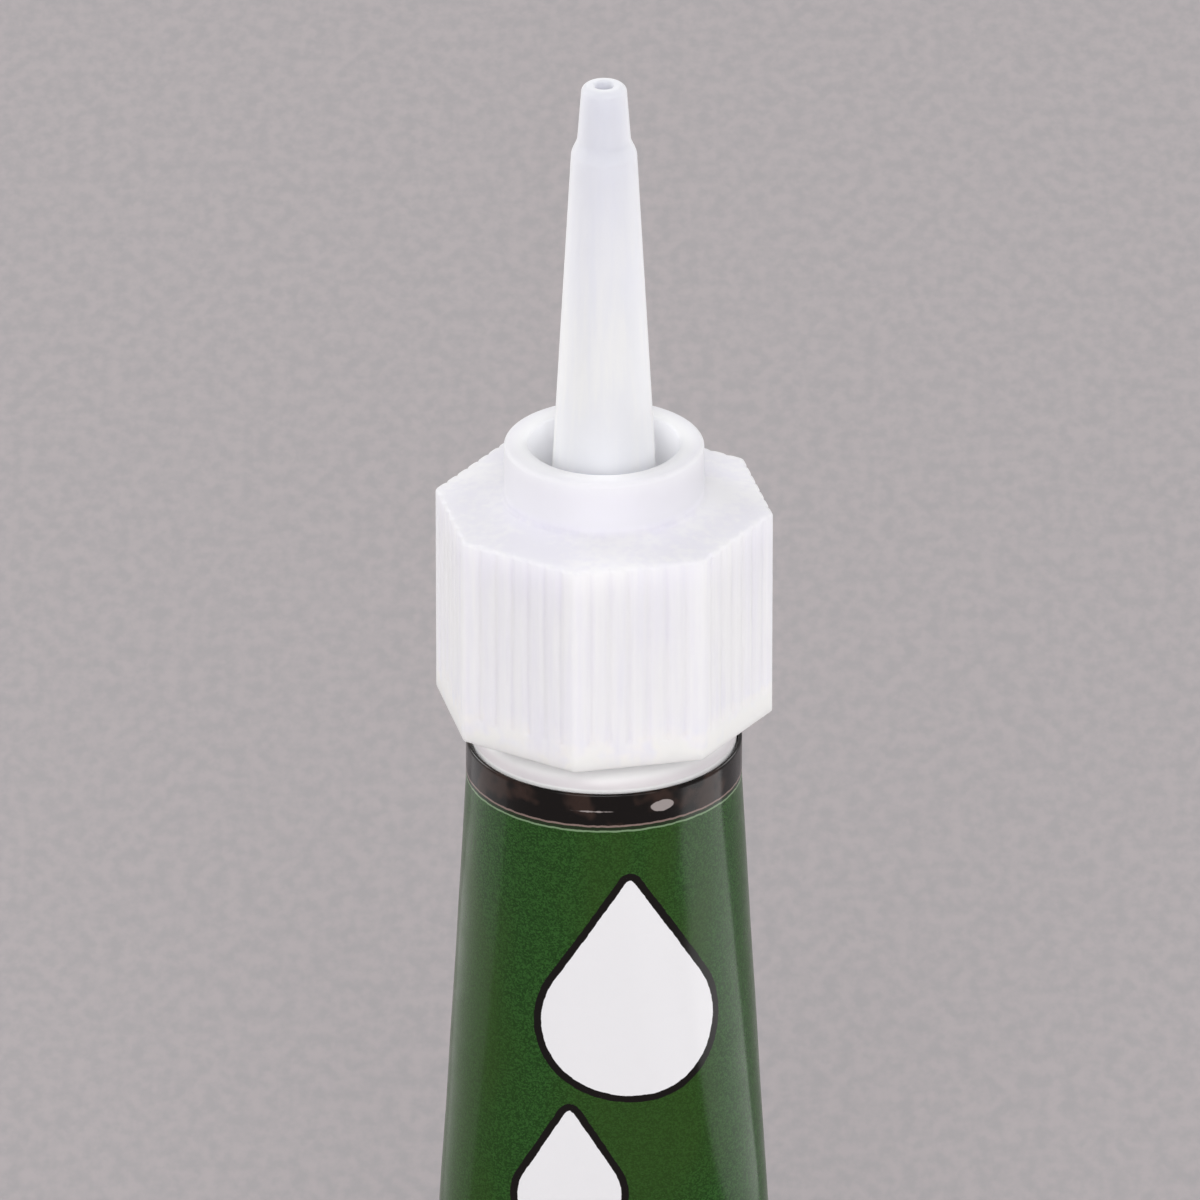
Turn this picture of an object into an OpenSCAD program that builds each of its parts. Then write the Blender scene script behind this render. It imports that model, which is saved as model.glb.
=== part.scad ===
// Super glue tube: a collapsible tube with a screw collar that carries a long nozzle.
// Millimetres, +Z up along the tube, origin at the middle of the folded tail's foot.

/* [Sleeve] */
// Outside diameter of the sleeve where it is round
sleeve_d = 12.7; // [11:0.1:15]
// Thickness of the coated metal wall
sleeve_wall = 0.2; // [0.1:0.02:0.3]
// Length from the foot of the tail to the sleeve's open end
sleeve_len = 58; // [45:0.5:75]

/* [Tail] */
// Height of the folded strip
fold_h = 4.5; // [3:0.1:7]
// Thickness of the folded strip, all its layers together
fold_t = 1.2; // [0.9:0.05:1.8]
// Height of the sealing strip above the fold
seal_h = 3; // [1:0.1:6]
// Thickness of the sealing strip
seal_t = 0.3; // [0.2:0.02:0.5]

/* [Head] */
// Depth that the head's skirt reaches into the sleeve
head_lap = 2; // [1.2:0.1:3.5]
// Wall of the head's skirt and shoulder
head_wall = 0.8; // [0.5:0.05:1.1]
// Rise of the domed shoulder from the sleeve's end to the root of the neck
shoulder_h = 1.5; // [1.1:0.05:1.7]
// Diameter of the neck under its thread
neck_d = 7; // [6.2:0.1:8]
// Diameter of the neck's bore
neck_bore_d = 4.4; // [3.6:0.1:4.8]
// Thickness of the foil that closes the neck
membrane_t = 0.2; // [0.1:0.02:0.4]
// Width of the ledge that the foil lies on
membrane_lap = 0.5; // [0.3:0.05:0.6]

/* [Thread] */
// Rise of the thread in one turn
thread_pitch = 1.5; // [1.3:0.05:1.9]
// Height of the thread's ridge
thread_depth = 0.5; // [0.3:0.05:0.6]
// Width of the ridge at its root
thread_root_w = 0.6; // [0.4:0.02:0.66]
// Width of the ridge at its crest
thread_crest_w = 0.3; // [0.15:0.02:0.38]
// Running gap between a ridge and the wall that it faces
thread_gap = 0.12; // [0.08:0.01:0.2]
// Plain length left at both ends of the thread
thread_end = 0.3; // [0.2:0.02:0.6]

/* [Collar] */
// Width of the octagonal collar across its corners
collar_d = 15.7; // [14.5:0.1:18]
// Height of the octagonal collar
collar_h = 10.1; // [8.5:0.1:13]
// Wall of the collar's skirt and of its threaded sleeve
collar_wall = 1; // [0.7:0.05:1.2]
// Thickness of the collar's top
collar_top_t = 1.2; // [0.9:0.05:1.5]
// Height of the collar's foot above the sleeve's end
collar_rise = 1.82; // [1.75:0.02:2.6]
// Turn of the octagon about the tube, in degrees
collar_angle = -9.9; // [-22.5:0.1:22.5]
// Radius of the collar's upright corners
corner_r = 0.4; // [0.2:0.05:0.9]
// Grooves in each side of the collar
rib_count = 6; // [3:1:7]
// Distance between grooves
rib_pitch = 0.88; // [0.7:0.02:0.95]
// Width of a groove at its mouth
rib_w = 0.5; // [0.3:0.02:0.6]
// Depth of a groove
rib_depth = 0.08; // [0.06:0.02:0.3]
// Height of the plain band under the grooves
rib_foot = 1.1; // [0.6:0.1:2]
// Outside diameter of the ring that a cap fits over
ring_d = 9.16; // [8.8:0.02:10.5]
// Inside diameter of the ring
ring_bore_d = 6.9; // [6.2:0.1:7.6]
// Height of the ring above the collar's top edge
ring_h = 2.95; // [2:0.05:4.5]
// Rise of the collar's top from its edge to the ring
crown_h = 0.35; // [0:0.05:0.6]
// Bevel on the ring's top edge
ring_edge = 0.2; // [0.05:0.05:0.4]
// Depth of the floor inside the ring below the collar's top edge
recess_d = 0.35; // [0.1:0.05:0.6]
// Thickness of the ledge that holds the nozzle's flange down
ledge_t = 1; // [0.7:0.05:1.4]

/* [Nozzle] */
// Thickness of the nozzle's flange
flange_t = 1.2; // [0.8:0.05:1.6]
// Diameter of the cone where it leaves the flange
cone_base_d = 5.1; // [4.4:0.05:5.8]
// Diameter of the cone at its upper end
cone_top_d = 3.01; // [2.8:0.01:3.6]
// Length of the cone
cone_len = 18.8; // [14:0.1:28]
// Length of the flare between the cone and the tip
flare_len = 0.95; // [0.6:0.05:2]
// Diameter of the tip at its foot
tip_base_d = 2.42; // [2.3:0.02:2.7]
// Diameter of the tip at its top
tip_d = 2.08; // [1.9:0.01:2.28]
// Length of the tip
tip_len = 2.55; // [1.5:0.05:4]
// Radius of the tip's rounded top edge
tip_round = 0.34; // [0.1:0.02:0.4]
// Diameter of the hole in the tip
orifice_d = 0.86; // [0.5:0.02:1]
// Wall of the cone
nozzle_wall = 0.8; // [0.5:0.02:0.95]
// Outside diameter of the hollow spur that pierces the foil
spur_d = 3; // [2.4:0.1:3.4]
// Length of the spur
spur_len = 2; // [1:0.1:3]
// Diameter of the spur's bore
spur_bore_d = 1.8; // [1.2:0.05:2]

/* [Clearances] */
// Gap between the head's skirt and the sleeve
head_gap = 0.05; // [0.04:0.01:0.08]
// Gap between the fill or the seal and the sleeve's wall
fill_gap = 0.05; // [0.03:0.01:0.09]
// Gap between the flange and the neck's mouth
seat_gap = 0.05; // [0.03:0.01:0.1]
// Gap round and above the flange, in which the collar turns
turn_gap = 0.12; // [0.06:0.01:0.2]
// Gap between the cone and the ledge round it
ledge_gap = 0.15; // [0.1:0.01:0.2]
// Gap between the spur and the pierced foil
pierce_gap = 0.1; // [0.06:0.01:0.15]

/* [Hidden] */

// Roundness of turned shapes
$fn = 96;
// Points round a lofted ring, a multiple of four
ring_points = 48;
// Rings along the sleeve's flare
sleeve_steps = 14;
// Rings along the fill
fill_steps = 8;
// Rings along the sealing strip
seal_steps = 2;
// Sections in one turn of a thread
thread_steps = 30;
// Steps along the flare, the dome and the rounded edges
curve_steps = 6;
// How far a cut runs past the face that it opens
overrun = 0.5;
// How far a ridge reaches into the wall that carries it
thread_bite = 0.15;
// Share of the sleeve's widening that is even along its length, the rest gathers towards the tail
even_share = 0.8;
// Share of a groove's mouth that its floor takes
rib_floor_share = 0.4;
// Sides of the collar, and the angle from the middle of a side to its corner
collar_sides = 8;
half_side = 180 / collar_sides;

// The sleeve's outline keeps its girth from the round end to the flat tail
girth = PI * sleeve_d;
round_less_flat = 2 * PI - 4;
flat_half_t = sleeve_wall + seal_t / 2;
flat_half_w = (girth - round_less_flat * flat_half_t) / 4;
fold_half_w = girth / 4;
flare_top_z = sleeve_len - head_lap;

// Heights, from the sleeve's end upwards
shoulder_top_z = sleeve_len + shoulder_h;
collar_z = sleeve_len + collar_rise;
collar_top_z = collar_z + collar_h;
ring_top_z = collar_top_z + ring_h;
recess_z = collar_top_z - recess_d;
ledge_z = recess_z - ledge_t;
flange_top_z = ledge_z - turn_gap;
flange_z = flange_top_z - flange_t;
neck_top_z = flange_z - seat_gap;
cone_top_z = flange_top_z + cone_len;
tip_z = cone_top_z + flare_len;
nozzle_top_z = tip_z + tip_len;

// Radii that fit into each other
head_r = sleeve_d / 2 - sleeve_wall - head_gap;
thread_crest_r = neck_d / 2 + thread_depth;
collar_bore_r = thread_crest_r + thread_gap;
flange_r = collar_bore_r - turn_gap;
ledge_r = cone_base_d / 2 + ledge_gap;
membrane_r = neck_bore_d / 2 + membrane_lap - fill_gap;
pierce_r = spur_d / 2 + pierce_gap;
collar_apothem = collar_d / 2 * cos(half_side);

// The neck's ridge, and the collar's ridge half a pitch above it
thread_low_z = shoulder_top_z + thread_end + thread_root_w / 2;
thread_high_z = neck_top_z - thread_end - thread_root_w / 2;
neck_turns = (thread_high_z - thread_low_z) / thread_pitch;
collar_turns = neck_turns - 1 / 2;

// Half width of the sleeve at height z
function half_width(z) =
    let (s = max(0, min(1, (flare_top_z - z) / (flare_top_z - fold_h))))
    sleeve_d / 2 + (flat_half_w - sleeve_d / 2) * (even_share * s + (1 - even_share) * s * s);

// Half thickness that keeps the girth at that half width
function half_thickness(z) = (girth - 4 * half_width(z)) / round_less_flat;

// Ring of points with straight sides and round ends
function oval_ring(half_w, half_t, z) = [
    for (i = [0 : ring_points - 1])
        let (a = 360 * i / ring_points)
        [sign(cos(a)) * (half_w - half_t) + half_t * cos(a), half_t * sin(a), z]
];

// Rings that follow the sleeve, drawn in from its outside
function sleeve_rings(inset, low, high, steps) = [
    for (i = [0 : steps])
        let (z = low + (high - low) * i / steps)
        oval_ring(half_width(z) - inset, half_thickness(z) - inset, z)
];

function reversed(list) = [for (i = [len(list) - 1 : -1 : 0]) list[i]];

// One section of a helical ridge, from its lower root corner round to its lower crest corner
function ridge_section(root_r, crest_r, angle, z) =
    let (root_half = thread_root_w / 2, crest_half = thread_crest_w / 2)
    let (outline = [[root_r, -root_half], [root_r, root_half], [crest_r, crest_half], [crest_r, -crest_half]])
    [for (p = outline) [p[0] * cos(angle), p[0] * sin(angle), z + p[1]]];

// All sections of a ridge; one that points inwards runs round the other way
function ridge_rings(root_r, crest_r, low, turns) =
    let (count = ceil(turns * thread_steps))
    let (rings = [
        for (i = [0 : count])
            let (t = turns * i / count)
            ridge_section(root_r, crest_r, 360 * t, low + thread_pitch * t)
    ])
    crest_r > root_r ? rings : [for (ring = rings) reversed(ring)];

// Closed skin over rings of equal length
module skin(rings) {
    n = len(rings[0]);
    last = len(rings) - 1;
    sides = [
        for (i = [0 : last - 1], j = [0 : n - 1])
            let (a = i * n + j, b = i * n + (j + 1) % n)
            each [[a, a + n, b + n], [a, b + n, b]]
    ];
    foot = [for (j = [0 : n - 1]) j];
    head = [for (j = [n - 1 : -1 : 0]) last * n + j];
    polyhedron([for (ring = rings) each ring], concat(sides, [foot, head]), convexity = 6);
}

// Printed metal wall with the folded strip at its tail
module tube_sleeve() {
    fold = [for (z = [0, fold_h]) oval_ring(fold_half_w, fold_t / 2, z)];
    outside = concat(
        sleeve_rings(0, fold_h, flare_top_z, sleeve_steps),
        [oval_ring(sleeve_d / 2, sleeve_d / 2, sleeve_len)]
    );
    inner_r = sleeve_d / 2 - sleeve_wall;
    inside = concat(
        [oval_ring(inner_r, inner_r, sleeve_len)],
        reversed(sleeve_rings(sleeve_wall, fold_h, flare_top_z, sleeve_steps))
    );
    color("forestgreen") skin(concat(fold, outside, inside));
}

// Domed shoulder and threaded neck
module tube_head() {
    skirt_in_r = head_r - head_wall;
    bore_r = neck_bore_d / 2;
    seat_r = bore_r + membrane_lap;
    dome_w = head_r - neck_d / 2;
    hollow_w = skirt_in_r - bore_r;
    profile = [
        [skirt_in_r, sleeve_len - head_lap],
        [head_r, sleeve_len - head_lap],
        for (i = [0 : curve_steps])
            let (a = 90 * i / curve_steps)
            [neck_d / 2 + dome_w * cos(a), sleeve_len + shoulder_h * sin(a)],
        [neck_d / 2, neck_top_z],
        [seat_r, neck_top_z],
        [seat_r, neck_top_z - membrane_t],
        [bore_r, neck_top_z - membrane_t],
        for (i = [curve_steps : -1 : 0])
            let (a = 90 * i / curve_steps)
            [bore_r + hollow_w * cos(a), sleeve_len - head_wall + shoulder_h * sin(a)]
    ];
    color("whitesmoke") {
        rotate_extrude() polygon(profile);
        skin(ridge_rings(neck_d / 2 - thread_bite, thread_crest_r, thread_low_z, neck_turns));
    }
}

// Foil over the neck's bore, pierced by the spur
module neck_membrane() {
    color("silver")
    translate([0, 0, neck_top_z - membrane_t])
    difference() {
        cylinder(r = membrane_r, h = membrane_t);
        translate([0, 0, -overrun]) cylinder(r = pierce_r, h = membrane_t + 2 * overrun);
    }
}

// Sealing strip between the flattened walls
module tail_sealant() {
    low = fold_h + fill_gap;
    color("tan") skin(sleeve_rings(sleeve_wall + fill_gap, low, low + seal_h, seal_steps));
}

// Gel between the sealing strip and the head
module glue_fill() {
    low = fold_h + seal_h + 2 * fill_gap;
    high = flare_top_z - fill_gap;
    color("lightyellow") skin(sleeve_rings(sleeve_wall + fill_gap, low, high, fill_steps));
}

// Cone with a stepped tip, a flange under the collar's ledge and a hollow spur
module nozzle() {
    cone_r = cone_top_d / 2;
    foot_r = tip_base_d / 2;
    orifice_r = orifice_d / 2;
    outside = [
        [spur_d / 2, flange_z - spur_len],
        [spur_d / 2, flange_z],
        [flange_r, flange_z],
        [flange_r, flange_top_z],
        [cone_base_d / 2, flange_top_z],
        for (i = [0 : curve_steps])
            let (s = i / curve_steps)
            [cone_r + (foot_r - cone_r) * s * s * (3 - 2 * s), cone_top_z + flare_len * s],
        for (i = [0 : curve_steps])
            let (a = 90 * i / curve_steps)
            [tip_d / 2 - tip_round + tip_round * cos(a), nozzle_top_z - tip_round + tip_round * sin(a)]
    ];
    inside = [
        [orifice_r, nozzle_top_z],
        [orifice_r, tip_z],
        [cone_r - nozzle_wall, cone_top_z],
        [cone_base_d / 2 - nozzle_wall, flange_top_z],
        [spur_bore_d / 2, flange_z],
        [spur_bore_d / 2, flange_z - spur_len]
    ];
    color("gainsboro") rotate_extrude() polygon(concat(outside, inside));
}

// Outline of the collar: flat sides with rounded corners, and grooves of the given depth in them
module collar_outline(depth) {
    corner_out = (collar_apothem - corner_r) / cos(half_side);
    floor_w = rib_w * rib_floor_share;
    cut = [[-rib_w / 2, 0], [-floor_w / 2, -depth], [floor_w / 2, -depth], [rib_w / 2, 0]];
    groove = depth > 0 ? cut : [];
    points = [
        for (k = [0 : collar_sides - 1])
            let (side = collar_angle + (2 * k + 1) * half_side, corner = side + half_side)
            each concat(
                [
                    for (j = [0 : rib_count - 1], p = groove)
                        let (along = (j - (rib_count - 1) / 2) * rib_pitch + p[0])
                        let (out = collar_apothem + p[1])
                        [out * cos(side) - along * sin(side), out * sin(side) + along * cos(side)]
                ],
                [
                    for (i = [0 : curve_steps])
                        let (a = side + 2 * half_side * i / curve_steps)
                        [
                            corner_out * cos(corner) + corner_r * cos(a),
                            corner_out * sin(corner) + corner_r * sin(a)
                        ]
                ]
            )
    ];
    polygon(points);
}

// Crown on the collar's top, and the ring on it with a bevelled mouth
module collar_ring() {
    crown_r = collar_apothem - 2 * rib_depth;
    edge_r = ring_d / 2 - ring_edge;
    rotate_extrude() polygon([
        [0, collar_top_z - collar_top_t],
        [crown_r, collar_top_z - collar_top_t],
        [crown_r, collar_top_z],
        [ring_d / 2, collar_top_z + crown_h],
        [ring_d / 2, ring_top_z - ring_edge],
        [edge_r, ring_top_z],
        [0, ring_top_z]
    ]);
}

// Screw collar with its grooved skirt, threaded sleeve, ledge and cap ring
module collar() {
    skirt_in_r = collar_d / 2 - collar_wall / cos(half_side);
    sleeve_out_r = collar_bore_r + collar_wall;
    hollow_h = collar_h - collar_top_t + overrun;
    low = collar_z - overrun;
    color("gainsboro") {
        difference() {
            union() {
                translate([0, 0, collar_z]) {
                    linear_extrude(rib_foot) collar_outline(0);
                    linear_extrude(collar_h) collar_outline(rib_depth);
                }
                collar_ring();
            }
            translate([0, 0, low]) cylinder(r = collar_bore_r, h = ledge_z - low);
            translate([0, 0, low]) cylinder(r = ledge_r, h = ring_top_z - low + overrun);
            translate([0, 0, recess_z]) cylinder(d = ring_bore_d, h = ring_top_z - recess_z + overrun);
            translate([0, 0, low]) difference() {
                rotate(collar_angle) cylinder(r = skirt_in_r, h = hollow_h, $fn = collar_sides);
                cylinder(r = sleeve_out_r, h = hollow_h + overrun);
            }
        }
        skin(ridge_rings(
            collar_bore_r + thread_bite,
            collar_bore_r - thread_depth,
            thread_low_z + thread_pitch / 2,
            collar_turns
        ));
    }
}

tube_sleeve();
tube_head();
neck_membrane();
tail_sealant();
glue_fill();
nozzle();
collar();
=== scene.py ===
"""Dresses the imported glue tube: skins for sleeve, head, nozzle and collar, materials, light and camera.

Lengths are in millimetres and angles in degrees. Meshes are scaled to metres as they are made.
"""
import math

import bmesh
import bpy
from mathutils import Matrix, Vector, noise


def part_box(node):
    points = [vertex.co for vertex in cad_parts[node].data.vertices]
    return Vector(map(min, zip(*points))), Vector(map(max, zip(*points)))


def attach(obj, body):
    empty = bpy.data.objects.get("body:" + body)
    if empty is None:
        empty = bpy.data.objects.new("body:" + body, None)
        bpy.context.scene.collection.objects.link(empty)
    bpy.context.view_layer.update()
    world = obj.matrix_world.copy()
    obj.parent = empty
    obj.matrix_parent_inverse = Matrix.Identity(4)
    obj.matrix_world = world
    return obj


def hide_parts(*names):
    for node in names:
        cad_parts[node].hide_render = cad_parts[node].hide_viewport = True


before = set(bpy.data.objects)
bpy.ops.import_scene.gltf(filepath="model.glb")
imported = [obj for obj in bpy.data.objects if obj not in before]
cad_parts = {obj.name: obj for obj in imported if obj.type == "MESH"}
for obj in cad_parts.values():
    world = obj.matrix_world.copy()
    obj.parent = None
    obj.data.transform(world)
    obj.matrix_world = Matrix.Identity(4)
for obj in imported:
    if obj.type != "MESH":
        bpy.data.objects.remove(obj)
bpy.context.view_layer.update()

MM = 0.001


def node_box(node):
    """Lowest and highest corner of a frame node, in millimetres."""
    low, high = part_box(node)
    return low / MM, high / MM


# Sizes read from the frame
sleeve_high = node_box("tube_sleeve")[1]
head_low, head_high = node_box("tube_head")
foil_low, foil_high = node_box("neck_membrane")
seal_low = node_box("tail_sealant")[0]
nozzle_low, nozzle_high = node_box("nozzle")
collar_low, collar_high = node_box("collar")

# Sleeve
SLEEVE_R = sleeve_high.y
SLEEVE_END = sleeve_high.z
SLEEVE_WALL = 0.2
FLARE_TOP = head_low.z
GIRTH = 2 * math.pi * SLEEVE_R
EVEN_SHARE = 0.8
RING_POINTS = 256
BODY_STEP = 0.35
INNER_STEP = 2.0
BAND_STEP = 0.05

# Folded tail: three layers of flattened wall, with pressed lines across them
SEAL_CLEARANCE = 0.05
FOLD_TOP = seal_low.z - SEAL_CLEARANCE
FOLD_INSET = 0.01
FOLD_HALF_W = sleeve_high.x - FOLD_INSET
FLAT_HALF_T = 0.35
LAYER_HALF_T = 0.19
LAYER_PITCH = 0.4
JOG_H = 0.9
FLAP_TOP = 3.5
PRESS_HEIGHTS = (1.1, 1.9, 2.7)
PRESS_DEPTH = 0.05
PRESS_HALF_W = 0.16
FOLD_STEP = 0.1
HIDDEN_FOLD_STEP = 0.3
BEND_STEPS = 12

# Unevenness of the thin wall, and dents as (girth, height, half width, half height, depth)
WAVE_SIZE = 6.0
WAVE_DEPTH = 0.035
DENTS = (
    (-7.5, 30.0, 2.4, 2.4, 0.12),
    (6.0, 22.0, 3.0, 3.0, 0.15),
)

# Print: a band and lines at the sleeve's end, and drops as (girth, height, radius, rise of the point)
BAND_LOW = 56.45
LINE_W = 0.09
LINE_GAP = 0.17
DROPS = ((1.2, 45.9, 4.1, 7.4), (-1.6, 36.4, 2.4, 4.4), (3.4, 31.6, 1.7, 3.2))
POINT_R = 0.2
OUTLINE_W = 0.36
# Distance that stands for no print or pale spot near
NO_PRINT = 10 * OUTLINE_W
# Pale spots painted on the band, as (girth, height, half width, half height)
PALE_SPOTS = ((2.75, 57.2, 0.58, 0.28), (-0.67, 57.15, 0.8, 0.04))

# How far the paint is rubbed off at the sleeve's side edges, on the fold and at the fold's ends
SIDE_WEAR = 0.4
FOLD_WEAR = 0.25
END_WEAR = 0.5
# Height where the side edges' wear ends, and points of a ring that it takes to fade
WEAR_TOP = 3 * FOLD_TOP
WEAR_POINTS = 4

# Rounding, and the steps of its arcs
EDGE_R = 0.12
EDGE_STEPS = 4
FILLET_STEPS = 5
LIP_STEPS = 6
ROUND_STEPS = 8
# Edges bent by more than this stay crisp
SHARP_ANGLE = 50.0

# Head
HEAD_R = head_high.x
HEAD_WALL = 0.8
SHOULDER_H = 1.5
NECK_R = 3.5
NECK_TOP = head_high.z
NECK_BORE_R = 2.2
FOIL_SEAT_R = 2.7
FOIL_T = foil_high.z - foil_low.z
DOME_STEPS = 16

# Thread
PITCH = 1.5
RIDGE_H = 0.5
RIDGE_ROOT_W = 0.6
RIDGE_CREST_W = 0.3
THREAD_END = 0.3
THREAD_STEP = 0.1
RUN_OUT_TURNS = 0.12

# Collar
COLLAR_FOOT = collar_low.z
RING_TOP = collar_high.z
COLLAR_H = 10.1
COLLAR_TOP = COLLAR_FOOT + COLLAR_H
COLLAR_ACROSS_CORNERS = 15.7
COLLAR_SIDES = 8
HALF_SIDE_ANGLE = 180 / COLLAR_SIDES
COLLAR_APOTHEM = COLLAR_ACROSS_CORNERS / 2 * math.cos(math.radians(HALF_SIDE_ANGLE))
COLLAR_ANGLE = -9.9
COLLAR_WALL = 1.0
COLLAR_TOP_T = 1.2
CORNER_R = 0.4
LEAST_CORNER_R = CORNER_R / 3
CORNER_STEPS = 6
SIDE_STEPS = 60
RIB_COUNT = 6
RIB_PITCH = 0.88
RIB_W = 0.5
RIB_DEPTH = 0.08
RIB_FOOT = 1.1
RIB_END = 0.3
RIB_END_STEPS = 5
TOP_EDGE_R = 0.2
FOOT_EDGE_R = 0.08
CROWN_H = 0.35
RING_R = 4.58
RING_BORE_R = 3.45
RING_LIP_R = 0.22
RING_FOOT_R = 0.24
RECESS_D = 0.35
LEDGE_T = 1.0
LEDGE_R = 2.7
COLLAR_BORE_R = 4.12

# Nozzle
NOZZLE_TOP = nozzle_high.z
FLANGE_R = nozzle_high.x
FLANGE_T = 1.2
SPUR_LEN = 2.0
SPUR_R = 1.5
SPUR_BORE_R = 0.9
CONE_BASE_R = 2.55
CONE_TOP_R = 1.505
CONE_LEN = 18.8
CONE_STEPS = 24
FLARE_LEN = 0.95
FLARE_STEPS = 12
TIP_BASE_R = 1.21
TIP_R = 1.04
TIP_ROUND = 0.34
ORIFICE_R = 0.43
NOZZLE_WALL = 0.8
LATHE_POINTS = 128

# Camera: the photo is taken 26 degrees above the horizontal, and its frame is square
CAMERA_RISE = 26.0
CAMERA_FAR = 900.0
CAMERA_AIM = Vector((-0.183, 0.0, 64.83))
FRAME_W = 54.97
SENSOR_W = 36.0


# Shape helpers

def smooth(share):
    """Eases a share from 0 to 1, flat at both ends."""
    share = min(1.0, max(0.0, share))
    return share * share * (3 - 2 * share)


def even(low, high, step):
    """Evenly spaced values from low to high, about a step apart."""
    count = max(1, round(abs(high - low) / step))
    return [low + (high - low) * i / count for i in range(count + 1)]


def arc(centre_r, centre_z, radius, start, stop, steps=EDGE_STEPS):
    """Points of a circular arc, in a turned profile or round a corner."""
    angles = [math.radians(start + (stop - start) * i / steps) for i in range(steps + 1)]
    return [(centre_r + radius * math.cos(a), centre_z + radius * math.sin(a)) for a in angles]


def ring_at(radius, z, angles):
    """Round ring of points at a height."""
    return [(radius * math.cos(a), radius * math.sin(a), z) for a in angles]


def lathe_angles():
    """Angles of the points of a turned piece's rings."""
    return [2 * math.pi * i / LATHE_POINTS for i in range(LATHE_POINTS)]


def ridge_share(angle, z, low, turns):
    """Height of a helical ridge at a point, as a share of its full height."""
    turn = angle / (2 * math.pi) % 1.0
    nearest = turn + round((z - low) / PITCH - turn)
    if nearest < 0 or nearest > turns:
        return 0.0
    off = abs(z - low - PITCH * nearest)
    slope = (RIDGE_ROOT_W - RIDGE_CREST_W) / 2
    run_out = smooth(min(nearest, turns - nearest) / RUN_OUT_TURNS)
    return run_out * min(1.0, max(0.0, (RIDGE_ROOT_W / 2 - off) / slope))


def skin(name, rings, closed=False):
    """Object with a skin of quads over rings of equal length, joined end to end or capped."""
    count = len(rings[0])
    faces = []
    for i in range(len(rings) if closed else len(rings) - 1):
        low = i * count
        high = (i + 1) % len(rings) * count
        for j in range(count):
            k = (j + 1) % count
            faces.append((low + j, low + k, high + k, high + j))
    if not closed:
        last = (len(rings) - 1) * count
        faces.append(tuple(reversed(range(count))))
        faces.append(tuple(range(last, last + count)))
    mesh = bpy.data.meshes.new(name)
    mesh.from_pydata([Vector(p) * MM for ring in rings for p in ring], [], faces)
    build = bmesh.new()
    build.from_mesh(mesh)
    bmesh.ops.recalc_face_normals(build, faces=build.faces)
    build.to_mesh(mesh)
    build.free()
    mesh.shade_smooth()
    mesh.set_sharp_from_angle(angle=math.radians(SHARP_ANGLE))
    piece = bpy.data.objects.new(name, mesh)
    bpy.context.scene.collection.objects.link(piece)
    return piece


def store(piece, label, values):
    """Keeps one number for each point of a piece, for its material to read."""
    attribute = piece.data.attributes.new(label, "FLOAT", "POINT")
    attribute.data.foreach_set("value", values)


def dress(piece, material, body, node):
    """Gives a piece its material, and puts it in the place of its frame node."""
    piece.data.materials.append(material)
    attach(piece, body)
    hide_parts(node)


# Sleeve

def half_width(z):
    """Half width of the sleeve, which spreads from round to flat."""
    share = min(1.0, max(0.0, (FLARE_TOP - z) / (FLARE_TOP - FOLD_TOP)))
    flat = (GIRTH - (2 * math.pi - 4) * FLAT_HALF_T) / 4
    return SLEEVE_R + (flat - SLEEVE_R) * (EVEN_SHARE * share + (1 - EVEN_SHARE) * share * share)


def half_thickness(z):
    """Half thickness that keeps the sleeve's girth."""
    return (GIRTH - 4 * half_width(z)) / (2 * math.pi - 4)


def oval(half_w, half_t):
    """Evenly spaced (x, y, normal x, normal y) round a flattened tube, from the front's middle."""
    straight = half_w - half_t
    end = math.pi * half_t
    around = 4 * straight + 2 * end
    points = []
    for i in range(RING_POINTS):
        way = around * i / RING_POINTS
        mirrored = way > around / 2
        way = around - way if mirrored else way
        if way < straight:
            x, y, nx, ny = way, -half_t, 0.0, -1.0
        elif way < straight + end:
            angle = (way - straight) / half_t - math.pi / 2
            nx, ny = math.cos(angle), math.sin(angle)
            x, y = straight + half_t * nx, half_t * ny
        else:
            x, y, nx, ny = 2 * straight + end - way, half_t, 0.0, 1.0
        points.append((-x if mirrored else x, y, -nx if mirrored else nx, ny))
    return points


def girth_of(index):
    """Way round the sleeve from the front's middle to a point of a ring, minus to the left."""
    share = index / RING_POINTS
    return GIRTH * (share - 1 if share > 0.5 else share)


def unevenness(index, x, y, z):
    """How far the thin wall stands out or in at a point."""
    fade = smooth((BAND_LOW - z) / WAVE_SIZE) * smooth((z - FOLD_TOP) / WAVE_SIZE)
    out = WAVE_DEPTH * fade * noise.noise(Vector((x, y, z)) / WAVE_SIZE)
    for girth, height, half_w, half_h, depth in DENTS:
        off = ((girth_of(index) - girth) / half_w) ** 2 + ((z - height) / half_h) ** 2
        out -= depth * math.exp(-off)
    return out


def body_ring(z):
    """Outside of the sleeve at a height."""
    ring = []
    for i, (x, y, nx, ny) in enumerate(oval(half_width(z), half_thickness(z))):
        out = unevenness(i, x, y, z)
        ring.append((x + out * nx, y + out * ny, z))
    return ring


def inner_ring(z):
    """Inside of the sleeve at a height."""
    points = oval(half_width(z) - SLEEVE_WALL, half_thickness(z) - SLEEVE_WALL)
    return [(x, y, z) for x, y, nx, ny in points]


def layer_ring(y, z, tilt, half_w, half_t):
    """Ring across the flattened wall, where it runs down at no tilt and up at half a turn."""
    lean = math.radians(tilt)
    points = oval(half_w, half_t)
    return [(x, y + across * math.cos(lean), z + across * math.sin(lean)) for x, across, nx, ny in points]


def pressed(z):
    """Half thickness of a layer, less at the lines pressed across the fold."""
    depth = sum(math.exp(-((z - height) / PRESS_HALF_W) ** 2) for height in PRESS_HEIGHTS)
    return LAYER_HALF_T - PRESS_DEPTH * depth


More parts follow.
